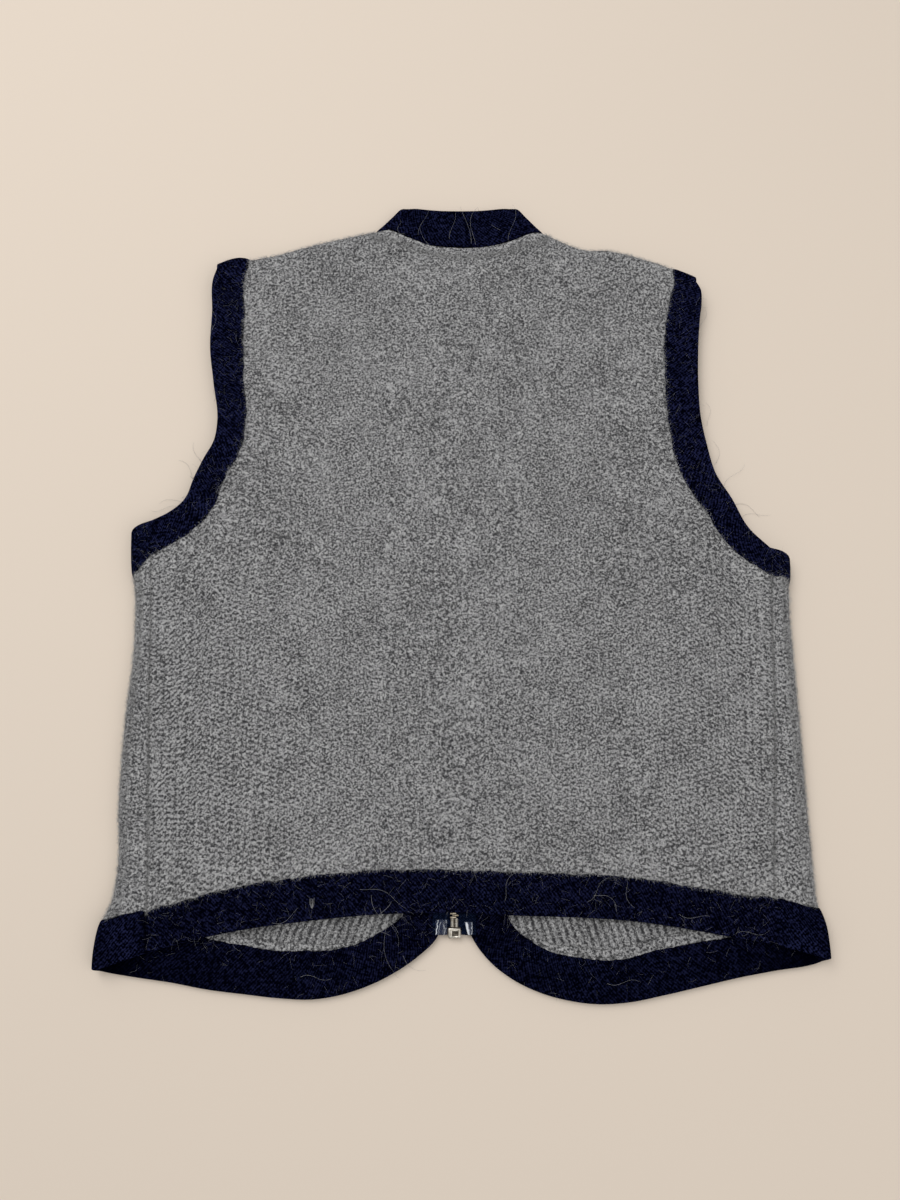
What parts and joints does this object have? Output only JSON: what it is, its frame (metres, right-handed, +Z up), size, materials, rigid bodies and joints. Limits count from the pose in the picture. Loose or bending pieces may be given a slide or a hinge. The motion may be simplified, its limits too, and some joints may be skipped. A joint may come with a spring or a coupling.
{
  "type": "wool vest laid flat",
  "caption": "Sleeveless grey felted wool vest lying flat with its back up, with navy fold-over bindings on every edge, a low stand collar and a metal front zip.",
  "frame": {"origin": "middle of the whole outline, on the surface that the vest lies on", "axes": "+Z up out of the upper face, which is the vest's back; +Y towards the neck; +X towards the wearer's right side, which is at the right of the picture"},
  "size_m": [0.5062, 0.5992, 0.0139],
  "materials": {
    "grey_wool": "felted grey wool knit, matt with a hairy nap",
    "navy_binding": "very dark navy twill, matt",
    "zip_tape": "dark woven zip tape",
    "zip_brass": "aged satin brass",
    "zip_nickel": "satin nickel plate",
    "clear_film": "clear glossy film"
  },
  "bodies": {
    "vest": {"back": "grey_wool", "front_left": "grey_wool", "front_right": "grey_wool", "collar": "navy_binding", "armhole_binding_left": "navy_binding", "armhole_binding_right": "navy_binding", "hem_binding_left": "navy_binding", "hem_binding_right": "navy_binding", "zip_tape_left": "zip_tape", "zip_tape_right": "zip_tape", "zip_chain": "zip_brass", "zip_box": "zip_nickel", "zip_pin_left": "zip_brass", "zip_pin_right": "zip_brass", "zip_film_left": "clear_film", "zip_film_right": "clear_film", "zip_slider": "zip_nickel", "zip_bridge": "zip_nickel", "zip_stop_left": "zip_brass", "zip_stop_right": "zip_brass"},
    "pull_tab": {"zip_pull": "zip_nickel"}
  },
  "joints": [
    {"name": "pull_turn", "type": "hinge", "parent": "vest", "child": "pull_tab", "pos_m": [-0.00504, 0.20642, 0.0017], "axis": [1, 0, 0], "range_deg": [0, 150]}
  ]
}
